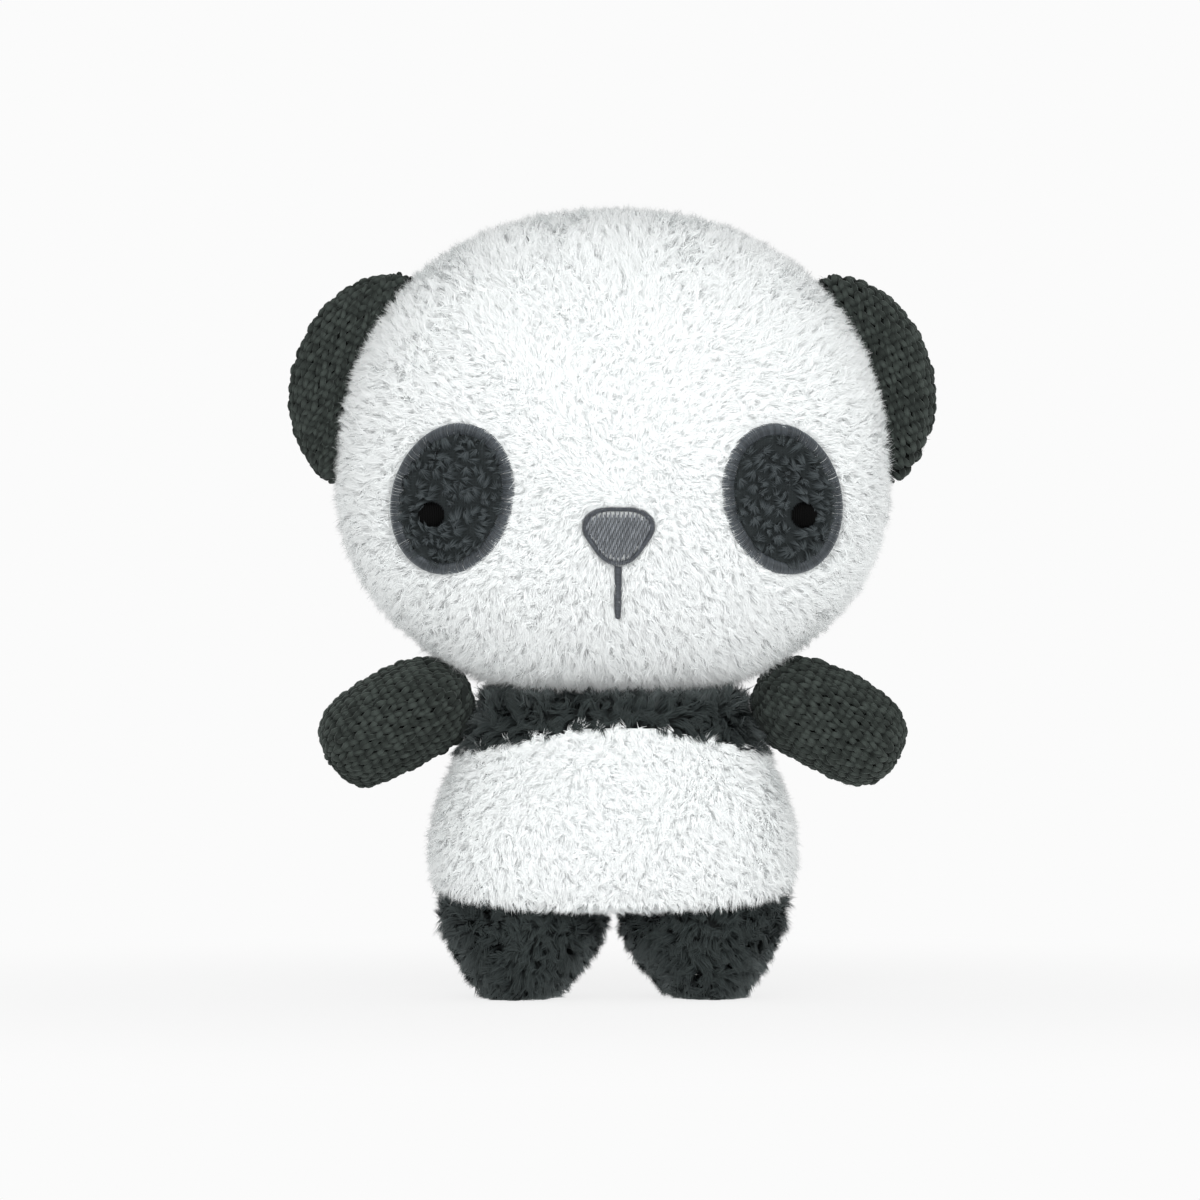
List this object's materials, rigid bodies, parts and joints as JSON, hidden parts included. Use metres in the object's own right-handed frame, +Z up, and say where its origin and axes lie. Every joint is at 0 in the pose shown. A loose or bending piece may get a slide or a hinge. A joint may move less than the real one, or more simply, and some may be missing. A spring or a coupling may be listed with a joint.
{
  "type": "plush panda",
  "caption": "Standing plush panda with a large pillow-shaped head, knitted ears and arms, short stub legs, a dark chest band and an embroidered face.",
  "frame": {"origin": "on the floor under the middle of the head, between the two soles", "axes": "+Z up, -Y the way the panda faces, +X to the panda's own left"},
  "size_m": [0.2034, 0.0959, 0.25],
  "materials": {
    "white_plush": "long soft white pile, slightly clumped, matt",
    "charcoal_plush": "soft charcoal pile, slightly curled, matt with a faint sheen",
    "charcoal_knit": "thick charcoal yarn, knitted in small rows of stitches, matt",
    "short_grey_plush": "short dark grey pile, rubbed into small tufts",
    "slate_satin_thread": "satin stitch in slate grey thread, silky",
    "black_thread": "black embroidery thread, slightly silky",
    "sewing_thread": "plain sewing thread",
    "fibrefill": "loose polyester fibre"
  },
  "bodies": {
    "torso": {"chest_front": "charcoal_plush", "chest_back": "charcoal_plush", "belly_front": "white_plush", "belly_back": "white_plush", "body_stuffing": "fibrefill", "closing_stitch": "sewing_thread"},
    "neck": {"neck_seam": "sewing_thread", "neck_stuffing": "fibrefill"},
    "head": {"head_front": "white_plush", "head_back": "white_plush", "head_stuffing": "fibrefill", "eye_patch_left": "short_grey_plush", "eye_patch_right": "short_grey_plush", "eye_border_left": "slate_satin_thread", "eye_border_right": "slate_satin_thread", "pupil_left": "black_thread", "pupil_right": "black_thread", "nose": "slate_satin_thread", "mouth": "slate_satin_thread"},
    "ear_left": {"ear_front_left": "charcoal_knit", "ear_back_left": "charcoal_knit", "ear_padding_left": "fibrefill"},
    "ear_right": {"ear_front_right": "charcoal_knit", "ear_back_right": "charcoal_knit", "ear_padding_right": "fibrefill"},
    "shoulder_left": {"shoulder_seam_left": "sewing_thread"},
    "arm_left": {"arm_front_left": "charcoal_knit", "arm_back_left": "charcoal_knit", "arm_stuffing_left": "fibrefill"},
    "shoulder_right": {"shoulder_seam_right": "sewing_thread"},
    "arm_right": {"arm_front_right": "charcoal_knit", "arm_back_right": "charcoal_knit", "arm_stuffing_right": "fibrefill"},
    "leg_left": {"leg_front_left": "charcoal_plush", "leg_back_left": "charcoal_plush", "leg_stuffing_left": "fibrefill"},
    "leg_right": {"leg_front_right": "charcoal_plush", "leg_back_right": "charcoal_plush", "leg_stuffing_right": "fibrefill"}
  },
  "joints": [
    {"name": "head_turn", "type": "hinge", "parent": "torso", "child": "neck", "pos_m": [0, 0, 0.0805], "axis": [0, 0, 1], "range_deg": [-25, 25], "stiffness_Nm_per_rad": 0.25},
    {"name": "head_nod", "type": "hinge", "parent": "neck", "child": "head", "pos_m": [0, 0, 0.0805], "axis": [1, 0, 0], "range_deg": [-10, 10], "stiffness_Nm_per_rad": 0.8},
    {"name": "ear_fold_left", "type": "hinge", "parent": "head", "child": "ear_left", "pos_m": [0.0828, 0, 0.2014], "axis": [0.3007, 0, -0.9537], "range_deg": [-25, 25], "stiffness_Nm_per_rad": 0.003},
    {"name": "ear_fold_right", "type": "hinge", "parent": "head", "child": "ear_right", "pos_m": [-0.0828, 0, 0.2014], "axis": [0.3007, 0, 0.9537], "range_deg": [-25, 25], "stiffness_Nm_per_rad": 0.003},
    {"name": "arm_swing_left", "type": "hinge", "parent": "torso", "child": "shoulder_left", "pos_m": [0.0595, 0, 0.093], "axis": [0, 0, 1], "range_deg": [-50, 35], "stiffness_Nm_per_rad": 0.02},
    {"name": "arm_raise_left", "type": "hinge", "parent": "shoulder_left", "child": "arm_left", "pos_m": [0.0595, 0, 0.093], "axis": [0, 1, 0], "range_deg": [-25, 25], "stiffness_Nm_per_rad": 0.02},
    {"name": "arm_swing_right", "type": "hinge", "parent": "torso", "child": "shoulder_right", "pos_m": [-0.0595, 0, 0.093], "axis": [0, 0, -1], "range_deg": [-50, 35], "stiffness_Nm_per_rad": 0.02},
    {"name": "arm_raise_right", "type": "hinge", "parent": "shoulder_right", "child": "arm_right", "pos_m": [-0.0595, 0, 0.093], "axis": [0, -1, 0], "range_deg": [-25, 25], "stiffness_Nm_per_rad": 0.02},
    {"name": "leg_bend_left", "type": "hinge", "parent": "torso", "child": "leg_left", "pos_m": [0, 0, 0.034], "axis": [-1, 0, 0], "range_deg": [-8, 8], "stiffness_Nm_per_rad": 0.25},
    {"name": "leg_bend_right", "type": "hinge", "parent": "torso", "child": "leg_right", "pos_m": [0, 0, 0.034], "axis": [-1, 0, 0], "range_deg": [-8, 8], "stiffness_Nm_per_rad": 0.25}
  ]
}
